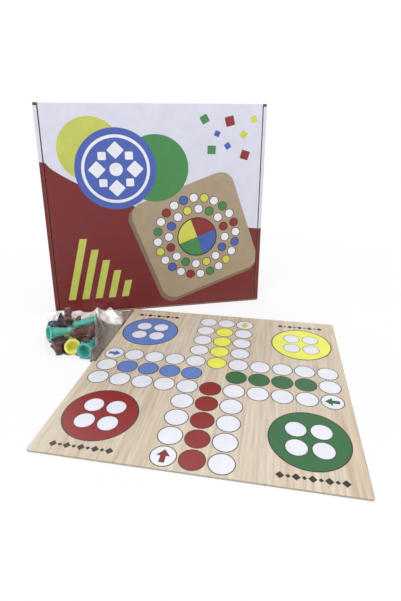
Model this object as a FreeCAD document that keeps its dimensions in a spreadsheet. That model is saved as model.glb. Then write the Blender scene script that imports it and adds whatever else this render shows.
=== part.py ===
import FreeCAD
import Part
import math
import os
import re
from types import SimpleNamespace

# Ludo set on a table: a folded carton standing on its front wall, the playing board in front of
# it and a film bag of pawns beside the board. +Z is up, X runs along the carton's width, +Y from
# the board to the carton. The origin is the centre of the board's underside.

Vector = FreeCAD.Vector
Rotation = FreeCAD.Rotation
Placement = FreeCAD.Placement
UP = Vector(0, 0, 1)

# Driving sizes in millimetres, angles in degrees, shares without a unit
SIZES = {
    # playing board
    "board_side": 230,
    "board_core_thickness": 1.2,
    "board_paper_thickness": 0.2,
    "board_corner_radius": 2,
    "board_turn": -21.3,
    # carton
    "box_width": 243,
    "box_height": 232,
    "box_depth": 42,
    "sheet_thickness": 1.2,
    "fold_radius": 0.8,
    "box_offset": -31,
    "board_box_gap": 0.3,
    "pocket_gap": 0.15,
    "roll_end_gap": 1.6,
    "crease_gap": 0.1,
    "lid_side_gap": 1,
    "lid_foot_gap": 1,
    "tuck_depth": 30,
    "tuck_side_gap": 10,
    "tuck_tilt": 4,
    "tuck_corner_radius": 14,
    "ear_depth": 28,
    "ear_foot_gap": 8,
    "ear_head_gap": 10,
    "ear_corner_radius": 10,
    "corner_flap_length": 42,
    "corner_flap_gap": 1.5,
    "corner_flap_radius": 6,
    "lock_tab_length": 30,
    "lock_slot_gap": 0.15,
    # pawns and die
    "pawn_base_diameter": 15.4,
    "pawn_height": 25.5,
    "pawn_head_diameter": 8.4,
    "pawn_neck_diameter": 6.4,
    "pawn_foot_diameter": 12.8,
    "pawn_rim_thickness": 1.8,
    "pawn_rim_round": 0.6,
    "pawn_hollow_diameter": 11.4,
    "pawn_hollow_end_diameter": 7.6,
    "pawn_hollow_depth": 8.4,
    "die_side": 13,
    "die_edge_radius": 1.6,
    "pip_radius": 1.2,
    "pip_depth": 0.5,
    "pip_pitch": 3.4,
    # bag
    "bag_film": 0.3,
    "bag_seam_width": 1.2,
    "bag_side_room": 1,
    "bag_board_gap": 0.4,
    "bag_box_gap": 2,
    "pile_setback": 101,
    "film_gap": 0.4,
    "piece_gap": 0.3,
}

# Centres of the lock tabs, as shares of the carton's height
LOCK_TAB_SHARES = (0.25, 0.75)

doc = FreeCAD.newDocument("ludo_set")
sheet = doc.addObject("Spreadsheet::Sheet", "sizes")
for row, (name, value) in enumerate(SIZES.items(), 1):
    sheet.set(f"A{row}", name)
    sheet.set(f"B{row}", str(value))
    sheet.setAlias(f"B{row}", name)
doc.recompute()
v = SimpleNamespace(**{name: float(sheet.get(name)) for name in SIZES})

nodes = []


def cells(text):
    """Point each size name in an expression at its cell in the sheet."""
    def cell(word):
        return "sizes." + word.group() if word.group() in SIZES else word.group()

    return re.sub(r"[a-z_]+", cell, text)


def bind(item, **texts):
    for prop, text in texts.items():
        item.setExpression(prop, cells(text))


def new_body(label):
    body = doc.addObject("PartDesign::Body", label)
    body.Label = label
    nodes.append(body)
    return body


def add_block(body, kind, length, width, height, at=Vector()):
    block = body.newObject(f"PartDesign::{kind}Box", body.Label + "_block")
    bind(block, Length=length, Width=width, Height=height)
    block.Placement = Placement(at, Rotation())
    doc.recompute()


def add_bead(body, length, axis):
    """Round crease bead of one sheet's thickness, along an axis through the body's origin."""
    bead = body.newObject("PartDesign::AdditiveCylinder", body.Label + "_bead")
    bind(bead, Radius="sheet_thickness / 2", Height=length)
    bead.Placement = Placement(Vector(), Rotation(UP, axis))
    doc.recompute()


def round_edges(body, radius, axis, corners):
    """Round the edges along one axis at the named corners: 0 is the low side and 1 the high side."""
    shape = body.Tip.Shape
    box = shape.BoundBox
    limits = ((box.XMin, box.XMax), (box.YMin, box.YMax), (box.ZMin, box.ZMax))
    others = [i for i in range(3) if i != axis]
    names = []
    for number, edge in enumerate(shape.Edges, 1):
        centre = edge.BoundBox.Center
        span = (edge.BoundBox.XLength, edge.BoundBox.YLength, edge.BoundBox.ZLength)
        straight = span[axis] > max(span[i] for i in others)
        for corner in corners:
            target = [limits[i][side] for i, side in zip(others, corner)]
            reach = math.hypot(*(centre[i] - place for i, place in zip(others, target)))
            if straight and reach < v.crease_gap:
                names.append(f"Edge{number}")
    solid = body.Tip
    fillet = body.newObject("PartDesign::Fillet", body.Label + "_round")
    fillet.Base = (solid, names)
    bind(fillet, Radius=radius)
    doc.recompute()


def board_frame(place):
    """Turn a placement from the board's own axes into the set's frame."""
    return Placement(Vector(), Rotation(UP, v.board_turn)) * place


# Playing board: back sheet, core and printed face, one on the other

def make_board():
    layers = (
        ("board_back_sheet", "board_paper_thickness", 0),
        ("board_core", "board_core_thickness", v.board_paper_thickness),
        ("board_face_sheet", "board_paper_thickness", v.board_paper_thickness + v.board_core_thickness),
    )
    for label, thickness, level in layers:
        body = new_body(label)
        add_block(body, "Additive", "board_side", "board_side", thickness)
        round_edges(body, "board_corner_radius", 2, ((0, 0), (0, 1), (1, 0), (1, 1)))
        corner = Vector(-v.board_side / 2, -v.board_side / 2, level)
        body.Placement = board_frame(Placement(corner, Rotation()))


# Carton: the box frame has X centred on the carton, Y from the lid's face and Z from the table

turn = math.radians(-v.board_turn)
box_front = v.board_side / 2 * (math.sin(turn) + math.cos(turn)) + v.board_box_gap
box_origin = Vector(v.box_offset, box_front, 0)
roll_width = 3 * v.sheet_thickness + 2 * v.pocket_gap
lid_half = v.box_width / 2 - roll_width - v.lid_side_gap
lid_foot = v.sheet_thickness + v.lid_foot_gap
crease_depth = 1.5 * v.sheet_thickness + v.crease_gap
SIDES = (("left", -1), ("right", 1))
ROLL_TEXT = "(3 * sheet_thickness + 2 * pocket_gap)"
LID_TEXT = f"(box_width - 2 * {ROLL_TEXT} - 2 * lid_side_gap)"


def place_in_box(body, x, y, z, rotation=Rotation()):
    body.Placement = Placement(box_origin + Vector(x, y, z), rotation)


def side_start(sign, inset, width):
    """Low x of a piece that starts one inset in from the carton's side."""
    return sign * (v.box_width / 2 - inset - width / 2) - width / 2


def make_tray_shell():
    sheet_t = v.sheet_thickness
    inner_left = -v.box_width / 2 + sheet_t

    wall = new_body("box_hinge_wall")
    add_block(wall, "Additive", "box_width - 2 * sheet_thickness",
              "box_depth - sheet_thickness - crease_gap", "sheet_thickness")
    round_edges(wall, "fold_radius", 0, ((1, 1),))
    place_in_box(wall, inner_left, sheet_t + v.crease_gap, v.box_height - sheet_t)

    wall = new_body("box_front_wall")
    add_block(wall, "Additive", "box_width - 2 * sheet_thickness", "box_depth", "sheet_thickness")
    round_edges(wall, "fold_radius", 0, ((1, 0),))
    place_in_box(wall, inner_left, 0, 0)

    back = new_body("box_back_panel")
    add_block(back, "Additive", "box_width - 2 * sheet_thickness", "sheet_thickness",
              "box_height - 2 * sheet_thickness")
    for _, sign in SIDES:
        for share in LOCK_TAB_SHARES:
            slot_x = side_start(sign, roll_width - sheet_t, sheet_t) - v.lock_slot_gap - inner_left
            slot_z = share * v.box_height - v.lock_tab_length / 2 - v.lock_slot_gap - sheet_t
            add_block(back, "Subtractive", "sheet_thickness + 2 * lock_slot_gap", "sheet_thickness",
                      "lock_tab_length + 2 * lock_slot_gap", Vector(slot_x, 0, slot_z))
    place_in_box(back, inner_left, v.box_depth - sheet_t, sheet_t)


def make_side_walls():
    sheet_t = v.sheet_thickness
    for side, sign in SIDES:
        outside = 0 if sign < 0 else 1
        outer = new_body(f"{side}_outer_wall")
        add_block(outer, "Additive", "sheet_thickness", "box_depth - sheet_thickness", "box_height")
        round_edges(outer, "fold_radius", 2, ((outside, 1),))
        place_in_box(outer, side_start(sign, 0, sheet_t), sheet_t, 0)

        roll = new_body(f"{side}_rolled_edge")
        add_block(roll, "Additive", ROLL_TEXT, "sheet_thickness",
                  "box_height - 2 * sheet_thickness - 2 * roll_end_gap")
        round_edges(roll, "fold_radius", 2, ((0, 0), (1, 0)))
        place_in_box(roll, side_start(sign, 0, roll_width), 0, sheet_t + v.roll_end_gap)

        inner = new_body(f"{side}_inner_wall")
        add_block(inner, "Additive", "sheet_thickness", "box_depth - 2 * sheet_thickness",
                  "box_height - 2 * sheet_thickness")
        for share in LOCK_TAB_SHARES:
            tab_z = share * v.box_height - v.lock_tab_length / 2 - sheet_t
            add_block(inner, "Additive", "sheet_thickness", "sheet_thickness", "lock_tab_length",
                      Vector(0, v.box_depth - 2 * sheet_t, tab_z))
        place_in_box(inner, side_start(sign, roll_width - sheet_t, sheet_t), sheet_t, sheet_t)


def make_corner_flaps():
    sheet_t = v.sheet_thickness
    levels = (("lower", sheet_t, 1), ("upper", v.box_height - sheet_t - v.corner_flap_length, 0))
    for side, sign in SIDES:
        for level, start, free_end in levels:
            flap = new_body(f"{level}_{side}_corner_flap")
            add_block(flap, "Additive", "sheet_thickness",
                      "box_depth - 2 * sheet_thickness - 2 * corner_flap_gap", "corner_flap_length")
            round_edges(flap, "corner_flap_radius", 0, ((0, free_end), (1, free_end)))
            place_in_box(flap, side_start(sign, sheet_t + v.pocket_gap, sheet_t),
                         sheet_t + v.corner_flap_gap, start)


def make_lid():
    sheet_t = v.sheet_thickness
    half = sheet_t / 2
    panel = new_body("lid_panel")
    add_bead(panel, LID_TEXT, Vector(1, 0, 0))
    lid_drop = v.box_height - half - lid_foot
    add_block(panel, "Additive", LID_TEXT, "sheet_thickness",
              "box_height - 1.5 * sheet_thickness - lid_foot_gap", Vector(0, -half, -lid_drop))
    round_edges(panel, "fold_radius", 0, ((0, 0),))
    place_in_box(panel, -lid_half, half, v.box_height - half)

    tuck = new_body("lid_tuck_flap")
    tuck_text = f"{LID_TEXT} - 2 * tuck_side_gap"
    add_bead(tuck, tuck_text, Vector(1, 0, 0))
    add_block(tuck, "Additive", tuck_text, "tuck_depth", "sheet_thickness", Vector(0, 0, -half))
    round_edges(tuck, "tuck_corner_radius", 2, ((0, 1), (1, 1)))
    place_in_box(tuck, -lid_half + v.tuck_side_gap, crease_depth, lid_foot + half,
                 Rotation(Vector(1, 0, 0), v.tuck_tilt))

    ear_foot = lid_foot + v.tuck_depth + v.ear_foot_gap
    ear_text = ("box_height - 2 * sheet_thickness - lid_foot_gap - tuck_depth"
                " - ear_foot_gap - ear_head_gap")
    for side, sign in SIDES:
        ear = new_body(f"lid_{side}_ear")
        add_bead(ear, ear_text, UP)
        add_block(ear, "Additive", "sheet_thickness", "ear_depth", ear_text, Vector(-half, 0, 0))
        round_edges(ear, "ear_corner_radius", 0, ((1, 0), (1, 1)))
        place_in_box(ear, sign * (lid_half - half), crease_depth, ear_foot)


# Pawns: an upright axis, with the origin at the centre of the rim's underside

rim_radius = v.pawn_base_diameter / 2
head_radius = v.pawn_head_diameter / 2
head_level = v.pawn_height - head_radius
HEAD_TEXT = "(pawn_height - pawn_head_diameter / 2)"
NECK_TEXT = f"({HEAD_TEXT} - sqrt(pawn_head_diameter ^ 2 - pawn_neck_diameter ^ 2) / 2)"


def make_pawn(label):
    body = new_body(label)
    rim = body.newObject("PartDesign::AdditiveCylinder", label + "_rim")
    bind(rim, Radius="pawn_base_diameter / 2", Height="pawn_rim_thickness")
    doc.recompute()
    rings = [f"Edge{i}" for i, edge in enumerate(rim.Shape.Edges, 1) if edge.isClosed()]
    fillet = body.newObject("PartDesign::Fillet", label + "_rim_round")
    fillet.Base = (rim, rings)
    bind(fillet, Radius="pawn_rim_round")
    waist = body.newObject("PartDesign::AdditiveCone", label + "_waist")
    bind(waist, Radius1="pawn_foot_diameter / 2", Radius2="pawn_neck_diameter / 2", Height=NECK_TEXT)
    head = body.newObject("PartDesign::AdditiveSphere", label + "_head")
    bind(head, Radius="pawn_head_diameter / 2")
    head.Placement = Placement(Vector(0, 0, head_level), Rotation())
    hollow = body.newObject("PartDesign::SubtractiveCone", label + "_hollow")
    bind(hollow, Radius1="pawn_hollow_diameter / 2", Radius2="pawn_hollow_end_diameter / 2",
         Height="pawn_hollow_depth")
    doc.recompute()
    return body


# Die: one corner of the cube at the origin, opposite faces add up to seven

CENTRE_PIP = ((0, 0),)
TWO_PIPS = ((-1, -1), (1, 1))
FOUR_PIPS = TWO_PIPS + ((-1, 1), (1, -1))
DIE_FACES = (
    (Vector(0, 0, 1), CENTRE_PIP),
    (Vector(0, 0, -1), FOUR_PIPS + ((-1, 0), (1, 0))),
    (Vector(0, -1, 0), TWO_PIPS),
    (Vector(0, 1, 0), FOUR_PIPS + CENTRE_PIP),
    (Vector(1, 0, 0), TWO_PIPS + CENTRE_PIP),
    (Vector(-1, 0, 0), FOUR_PIPS),
)


def make_die():
    body = new_body("die")
    add_block(body, "Additive", "die_side", "die_side", "die_side")
    fillet = body.newObject("PartDesign::Fillet", "die_round")
    fillet.Base = (body.Group[0], [f"Edge{i}" for i in range(1, len(body.Group[0].Shape.Edges) + 1)])
    bind(fillet, Radius="die_edge_radius")
    middle = Vector(1, 1, 1) * (v.die_side / 2)
    reach = v.die_side / 2 + v.pip_radius - v.pip_depth
    for normal, pips in DIE_FACES:
        across = Vector(normal.y, normal.z, normal.x)
        along = normal.cross(across)
        for i, j in pips:
            pip = body.newObject("PartDesign::SubtractiveSphere", "die_pip")
            bind(pip, Radius="pip_radius")
            centre = middle + normal * reach + (across * i + along * j) * v.pip_pitch
            pip.Placement = Placement(centre, Rotation())
    doc.recompute()
    return body


# Pile in the bag: every pawn lies on its side, with its rim and its head on what is below it

gap = v.piece_gap
shank = head_level - v.pawn_rim_thickness
lean = math.acos(head_radius / math.hypot(rim_radius, shank)) - math.atan2(shank, rim_radius)
film_room = v.bag_seam_width + v.bag_film + v.film_gap


def bag_right(y):
    """Right edge of the bag, which runs along the board's left edge."""
    return (y * math.sin(turn) - v.board_side / 2 - v.bag_board_gap) / math.cos(turn)


pile_front = box_front - v.pile_setback
pile_right = bag_right(pile_front) - (film_room + rim_radius) / math.cos(turn)
edge_heading = 90 + v.board_turn

# Centre of each rim as shares of a pawn's height, across and back from the front right pawn's, and
# the heading from rim to head, in degrees from the X axis
LOWER_SHARES = (
    ("pawn_green_1", 0, 0, edge_heading),
    ("pawn_yellow_1", -0.443, 0.396, 96),
    ("pawn_red_1", -1.176, 1.345, 285),
    ("pawn_blue_3", -1.243, 1.612, 90),
    ("pawn_yellow_2", -0.745, 2.533, 270),
    ("pawn_yellow_3", -0.247, 1.612, 90),
    ("pawn_yellow_4", 0.251, 2.533, 270),
    ("pawn_blue_1", -1.478, 2.925, 0),
    ("pawn_green_2", 0.56, 2.925, 180),
    ("pawn_blue_2", 0.953, 2.667, 90),
)
DIE_SHARES = (-0.263, 1.02)
UPPER_SHARES = (
    ("pawn_green_4", -1.341, 0.886, 25),
    ("pawn_red_4", 0.424, 0.847, 174),
    ("pawn_green_3", 0.482, 1.475, 178),
    ("pawn_red_3", 0.56, 2.102, 180),
)
# Pawns that lie the other way round on the pawn below, so their heads are the higher ends
REVERSED_SHARES = (
    ("pawn_red_2", -0.745, 1.729, 90),
    ("pawn_blue_4", -1.243, 2.22, 270),
)
SETTLED_SHARE = 0.1


def pawn_outline():
    """Rim, waist and head of a pawn, without its hollow and its rounding."""
    waist_height = head_level - math.sqrt(head_radius ** 2 - (v.pawn_neck_diameter / 2) ** 2)
    return Part.makeCompound([
        Part.makeCylinder(rim_radius, v.pawn_rim_thickness),
        Part.makeCone(v.pawn_foot_diameter / 2, v.pawn_neck_diameter / 2, waist_height),
        Part.makeSphere(head_radius, Vector(0, 0, head_level)),
    ])


def settle(place, others):
    """Lower a pawn until it lies one gap above the pieces that are already in the bag."""
    shape = pawn_outline()
    shape.Placement = place
    span = shape.BoundBox
    near = [item for item in others
            if item.BoundBox.XMin < span.XMax and item.BoundBox.XMax > span.XMin
            and item.BoundBox.YMin < span.YMax and item.BoundBox.YMax > span.YMin]
    reach = gap
    while reach > gap * SETTLED_SHARE:
        reach = min(shape.distToShape(item)[0] for item in near) - gap
        place = Placement(place.Base - UP * reach, place.Rotation)
        shape.Placement = place
    return place


def turned(heading, drop):
    """Rotation that lays a pawn down along a heading, with its head lower by an angle."""
    plan = Vector(math.cos(math.radians(heading)), math.sin(math.radians(heading)), 0)
    return Rotation(UP, plan * math.cos(drop) - UP * math.sin(drop))


def pile_point(across_share, depth_share, level):
    across = across_share * v.pawn_height
    depth = depth_share * v.pawn_height
    return Vector(pile_right + across, pile_front + depth, level)


def make_pile():
    """Lay the pawns and the die on the lower film, and return their outlines."""
    film = Part.makePlane(2 * v.board_side, 2 * v.board_side, Vector(-2 * v.board_side, 0, v.bag_film))
    placed = []

    def lay(shares, drop):
        for label, across_share, depth_share, heading in shares:
            start = pile_point(across_share, depth_share, v.bag_film + 2 * v.pawn_height)
            place = settle(Placement(start, turned(heading, drop)), [film] + placed)
            make_pawn(label).Placement = place
            outline = pawn_outline()
            outline.Placement = place
            placed.append(outline)

    lay(LOWER_SHARES, lean)
    die_corner = pile_point(*DIE_SHARES, v.bag_film + gap)
    make_die().Placement = Placement(die_corner, Rotation())
    placed.append(Part.makeBox(v.die_side, v.die_side, v.die_side, die_corner))
    lay(UPPER_SHARES, lean)
    lay(REVERSED_SHARES, -lean)
    return placed


# Bag: a flat lower film and an upper film that stands over the pile, joined at a flat seam

def add_ring(name, corners, level):
    ring = doc.addObject("Part::Polygon", name)
    ring.Nodes = [Vector(x, y, level) for x, y in corners]
    ring.Close = True
    return ring


def add_tent(name, foot, top, top_level):
    tent = doc.addObject("Part::Loft", name)
    tent.Sections = [add_ring(name + "_foot", foot, v.bag_film), add_ring(name + "_top", top, top_level)]
    tent.Solid = True
    tent.Ruled = True
    return tent


def add_sheet(name, corners, level):
    flat = doc.addObject("Part::Extrusion", name)
    flat.Base = add_ring(name + "_outline", corners, level)
    flat.DirMode = "Custom"
    flat.Dir = UP
    flat.Solid = True
    bind(flat, LengthFwd="bag_film")
    return flat


def make_bag(pile_shapes):
    pile = FreeCAD.BoundBox()
    for shape in pile_shapes:
        pile.add(shape.optimalBoundingBox(False, False))
    reach = min(shape.rotated(Vector(), UP, -v.board_turn).optimalBoundingBox(False, False).YMin
                for shape in pile_shapes)

    def around(left, front, rear, inset):
        """Four corners: front and right edges lie along the board's axes, left and rear along X and Y."""
        slant = inset / math.cos(turn)
        right = v.board_side / 2 + v.bag_board_gap + inset
        corner = board_frame(Placement(Vector(-right, front, 0), Rotation())).Base
        return ((left, (front - left * math.sin(turn)) / math.cos(turn)), (corner.x, corner.y),
                (bag_right(rear) - slant, rear), (left, rear))

    def on_table(inset):
        room = film_room + v.bag_side_room - inset
        return around(pile.XMin - room, reach - room, box_front - v.bag_box_gap - inset, inset)

    def over_pile(margin, inset):
        return around(pile.XMin - margin, reach - margin, pile.YMax + margin, inset)

    outside = v.bag_seam_width
    inside = v.bag_seam_width + v.bag_film
    film_top = pile.ZMax + v.film_gap
    lower = add_sheet("bag_lower_film", on_table(0), 0)
    seam = add_sheet("bag_seam", on_table(0), v.bag_film)
    outer = add_tent("bag_outside", on_table(outside), over_pile(v.film_gap + v.bag_film, outside),
                     film_top + v.bag_film)
    inner = add_tent("bag_inside", on_table(inside), over_pile(v.film_gap, inside), film_top)
    joined = doc.addObject("Part::Fuse", "bag_joined")
    joined.Base = outer
    joined.Tool = seam
    upper = doc.addObject("Part::Cut", "bag_upper_film")
    upper.Base = joined
    upper.Tool = inner
    nodes.extend((lower, upper))
    doc.recompute()


make_board()
make_tray_shell()
make_side_walls()
make_corner_flaps()
make_lid()
make_bag(make_pile())

doc.recompute()
failed = [item.Label for item in doc.Objects if {"Invalid", "Error"} & set(item.State)]
broken = [node.Label for node in nodes if node.Shape.isNull() or not node.Shape.isValid()]
if failed or broken:
    raise RuntimeError(f"failed objects {failed}, broken shapes {broken}")

os.makedirs("parts", exist_ok=True)
for node in nodes:
    node.Shape.exportStep(f"parts/{node.Label}.step")
print(len(nodes), "pieces written")
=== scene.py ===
import math

import bmesh
import bpy
import numpy as np
from mathutils import Matrix, Vector
from mathutils.bvhtree import BVHTree


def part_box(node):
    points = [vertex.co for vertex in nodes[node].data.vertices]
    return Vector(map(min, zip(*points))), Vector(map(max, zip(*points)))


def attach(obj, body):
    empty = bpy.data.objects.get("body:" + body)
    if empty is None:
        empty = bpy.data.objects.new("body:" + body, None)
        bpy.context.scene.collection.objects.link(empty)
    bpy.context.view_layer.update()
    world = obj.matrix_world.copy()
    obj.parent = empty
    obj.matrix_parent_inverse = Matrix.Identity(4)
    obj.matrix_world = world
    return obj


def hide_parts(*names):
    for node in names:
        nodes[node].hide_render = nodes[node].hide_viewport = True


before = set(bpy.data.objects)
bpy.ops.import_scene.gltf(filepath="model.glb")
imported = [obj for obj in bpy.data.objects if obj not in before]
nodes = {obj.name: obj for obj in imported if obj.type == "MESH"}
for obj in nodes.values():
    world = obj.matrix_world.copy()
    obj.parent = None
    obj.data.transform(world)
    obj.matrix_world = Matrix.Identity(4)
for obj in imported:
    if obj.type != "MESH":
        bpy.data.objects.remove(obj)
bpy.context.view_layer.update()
scene = bpy.context.scene

MM = 0.001
COLOURS = ("red", "yellow", "green", "blue")
PILE = [name for name in nodes if name.startswith("pawn_") or name == "die"]

# Sizes and places of the frame's pieces

BOARD_TURN = math.radians(-21.3)
BOARD_SIDE = 230 * MM
BOARD_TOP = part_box("board_face_sheet")[1].z
LID_LOW, LID_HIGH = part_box("lid_panel")
LID_WIDTH, LID_HEIGHT = LID_HIGH.x - LID_LOW.x, LID_HIGH.z - LID_LOW.z
CARTON_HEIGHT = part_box("left_outer_wall")[1].z
DIE_LOW, DIE_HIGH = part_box("die")
DIE_CENTRE, DIE_HALF = (DIE_LOW + DIE_HIGH) / 2, (DIE_HIGH.z - DIE_LOW.z) / 2

# Line between the carton's two colours: its ends, its bend and how far it sags

SPLIT_LEFT, SPLIT_RIGHT = 0.75 * CARTON_HEIGHT, 0.40 * CARTON_HEIGHT
SPLIT_POWER = 0.72
SPLIT_DIP = 9 * MM

# Film: the rear with painted glare, the window where it starts further back, and the bag's empty side
# with painted shade

FILM_GLARE_START, FILM_GLARE_END = 116 * MM, 121 * MM
FILM_GLARE_RIGHT, FILM_GLARE_FADE = -80 * MM, 4 * MM
FILM_WINDOW_LEFT, FILM_WINDOW_RIGHT = -140 * MM, -122 * MM
FILM_WINDOW_DEPTH, FILM_WINDOW_FADE = 28 * MM, 3 * MM
FILM_SIDE_START, FILM_SIDE_END, FILM_SHADE_FADED = -106 * MM, -102 * MM, -91 * MM
FILM_STRIP_START, FILM_STRIP_END = -119 * MM, -117.2 * MM
FILM_WARP = 14 * MM
BASE_SIDE_START = -112 * MM


# Colours

def rgb(red, green, blue):
    """Scene-linear colour of an 8-bit display colour."""
    def linear(part):
        share = part / 255
        return share / 12.92 if share <= 0.04045 else ((share + 0.055) / 1.055) ** 2.4

    return (linear(red), linear(green), linear(blue), 1)


def grey(level):
    return (level, level, level, 1)


def shade(colour, factor):
    return tuple(part * factor for part in colour[:3]) + (1,)


WHITE_INK = rgb(231, 232, 241)
BLACK_INK = rgb(28, 26, 26)
LINE_INK = rgb(56, 46, 44)
INKS = {
    "red": rgb(136, 22, 22), "yellow": rgb(236, 238, 94),
    "green": rgb(39, 99, 53), "blue": rgb(99, 129, 198),
}
ARROW_SHADE = 0.7
LILAC = rgb(215, 215, 230)
DARK_RED = rgb(113, 27, 27)
COVER_TAN = rgb(166, 148, 122)
COVER_BROWN = rgb(126, 108, 84)
COVER_LIME = rgb(190, 197, 92)
COVER_INKS = {
    "red": rgb(136, 40, 42), "yellow": rgb(206, 206, 84),
    "green": rgb(66, 132, 74), "blue": rgb(70, 94, 174),
}
PLASTICS = {
    "red": rgb(84, 11, 12), "yellow": rgb(243, 237, 104),
    "green": rgb(56, 178, 162), "blue": rgb(20, 52, 88),
}
DIE_RED, PIP_WHITE = rgb(92, 14, 15), rgb(226, 222, 214)
# Pale grey of the highlights painted along the film's creases
FILM_HIGHLIGHT_GREY = (0.86, 0.86, 0.88, 1)
# Grey-browns of the shade painted on the film at the bag's empty side, dark next to the pile and lighter
# further out
FILM_SHADE_DARK, FILM_SHADE_LIGHT = rgb(120, 110, 102), rgb(172, 162, 153)


# Shader nodes

def new_material(name):
    material = bpy.data.materials.new(name)
    material.use_nodes = True
    tree = material.node_tree
    shader = tree.nodes["Principled BSDF"]
    return material, tree, shader


def node(tree, kind, **values):
    """New node with its settings and its inputs' values set by name."""
    item = tree.nodes.new(kind)
    for name, value in values.items():
        if hasattr(item, name):
            setattr(item, name, value)
        else:
            item.inputs[name.replace("_", " ")].default_value = value
    return item


def math_node(tree, operation, first, second=None):
    item = tree.nodes.new("ShaderNodeMath")
    item.operation = operation
    for socket, value in zip(item.inputs, (first, second)):
        if value is None:
            continue
        if isinstance(value, (int, float)):
            socket.default_value = value
        else:
            tree.links.new(value, socket)
    return item.outputs[0]


def mapped(tree, turn=0.0, scale=(1, 1, 1)):
    """Place on the object in metres, turned about the vertical, then stretched."""
    place = tree.nodes.new("ShaderNodeTexCoord")
    turned = node(tree, "ShaderNodeMapping", vector_type="POINT", Rotation=(0, 0, turn))
    stretched = node(tree, "ShaderNodeMapping", vector_type="POINT", Scale=scale)
    tree.links.new(place.outputs["Object"], turned.inputs["Vector"])
    tree.links.new(turned.outputs["Vector"], stretched.inputs["Vector"])
    return stretched.outputs["Vector"]


def parts_of(tree, vector):
    item = tree.nodes.new("ShaderNodeSeparateXYZ")
    tree.links.new(vector, item.inputs["Vector"])
    return item.outputs


def span(tree, socket, start, end):
    """Smooth rise from 0 to 1 as the value goes from start to end."""
    item = node(tree, "ShaderNodeMapRange", interpolation_type="SMOOTHSTEP",
                From_Min=start, From_Max=end)
    tree.links.new(socket, item.inputs["Value"])
    return item.outputs["Result"]


def noise(tree, vector, scale, detail, roughness):
    item = node(tree, "ShaderNodeTexNoise", Scale=scale, Detail=detail, Roughness=roughness)
    tree.links.new(vector, item.inputs["Vector"])
    return item.outputs["Fac"]


def ramp(tree, factor, stops):
    item = tree.nodes.new("ShaderNodeValToRGB")
    while len(item.color_ramp.elements) < len(stops):
        item.color_ramp.elements.new(0.5)
    for element, (place, colour) in zip(item.color_ramp.elements, stops):
        element.position = place
        element.color = colour
    tree.links.new(factor, item.inputs["Fac"])
    return item.outputs["Color"]


def mix(tree, factor, first, second, blend="MIX"):
    item = node(tree, "ShaderNodeMix", data_type="RGBA", blend_type=blend)
    for name, value in (("Factor", factor), ("A", first), ("B", second)):
        if isinstance(value, (int, float, tuple)):
            item.inputs[name].default_value = value
        else:
            tree.links.new(value, item.inputs[name])
    return item.outputs["Result"]


def add_bump(tree, shader, height, distance, strength):
    item = node(tree, "ShaderNodeBump", Distance=distance, Strength=strength)
    tree.links.new(height, item.inputs["Height"])
    tree.links.new(item.outputs["Normal"], shader.inputs["Normal"])


# Materials of card and print

PAPER_TOOTH = 0.03 * MM
CARD_TOOTH = 0.08 * MM
FLUTE_HEIGHT = 0.05 * MM


def printed_material(name, colour, roughness):
    """Ink on card: even colour with fine mottling and the card's tooth."""
    material, tree, shader = new_material(name)
    place = mapped(tree)
    mottle = noise(tree, place, scale=90, detail=5, roughness=0.6)
    colours = ramp(tree, mottle, ((0.3, shade(colour, 0.94)), (0.7, shade(colour, 1.05))))
    tree.links.new(colours, shader.inputs["Base Color"])
    fine = noise(tree, place, scale=900, detail=3, roughness=0.6)
    rough = ramp(tree, fine, ((0.2, grey(roughness - 0.05)), (0.8, grey(roughness + 0.07))))
    tree.links.new(rough, shader.inputs["Roughness"])
    add_bump(tree, shader, fine, distance=PAPER_TOOTH, strength=0.5)
    return material


def wood_print_material():
    """Pale printed wood grain that runs from the board's front to its rear."""
    material, tree, shader = new_material("board_wood_print")
    grain = mapped(tree, -BOARD_TURN, (1, 0.035, 1))
    broad = mapped(tree, -BOARD_TURN, (1, 0.12, 1))
    streaks = noise(tree, grain, scale=330, detail=7, roughness=0.66)
    pores = noise(tree, grain, scale=900, detail=3, roughness=0.5)
    bands = noise(tree, broad, scale=22, detail=4, roughness=0.55)
    base = ramp(tree, streaks, (
        (0.30, rgb(194, 178, 157)), (0.47, rgb(210, 196, 177)),
        (0.60, rgb(220, 208, 190)), (0.78, rgb(228, 218, 202))))
    tint = ramp(tree, bands, (
        (0.32, rgb(238, 226, 210)), (0.55, grey(1)), (0.75, rgb(250, 243, 232))))
    pored = ramp(tree, pores, ((0.34, grey(0.74)), (0.46, grey(1))))
    coloured = mix(tree, 0.75, base, tint, "MULTIPLY")
    tree.links.new(mix(tree, 0.6, coloured, pored, "MULTIPLY"), shader.inputs["Base Color"])
    rough = ramp(tree, bands, ((0.2, grey(0.44)), (0.8, grey(0.54))))
    tree.links.new(rough, shader.inputs["Roughness"])
    fine = noise(tree, mapped(tree), scale=700, detail=3, roughness=0.6)
    add_bump(tree, shader, fine, distance=PAPER_TOOTH, strength=0.5)
    return material


def raw_card_material(name, colour, fleck):
    """Unprinted board with short fibres and flecks."""
    material, tree, shader = new_material(name)
    fibres = noise(tree, mapped(tree, 0.3, (1, 0.25, 1)), scale=420, detail=5, roughness=0.65)
    flecks = noise(tree, mapped(tree), scale=260, detail=2, roughness=0.5)
    base = ramp(tree, fibres, ((0.28, shade(colour, 0.82)), (0.72, shade(colour, 1.1))))
    marks = ramp(tree, flecks, ((0.27, fleck), (0.36, grey(1))))
    tree.links.new(mix(tree, 0.7, base, marks, "MULTIPLY"), shader.inputs["Base Color"])
    shader.inputs["Roughness"].default_value = 0.78
    add_bump(tree, shader, fibres, distance=CARD_TOOTH, strength=0.5)
    return material


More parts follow.
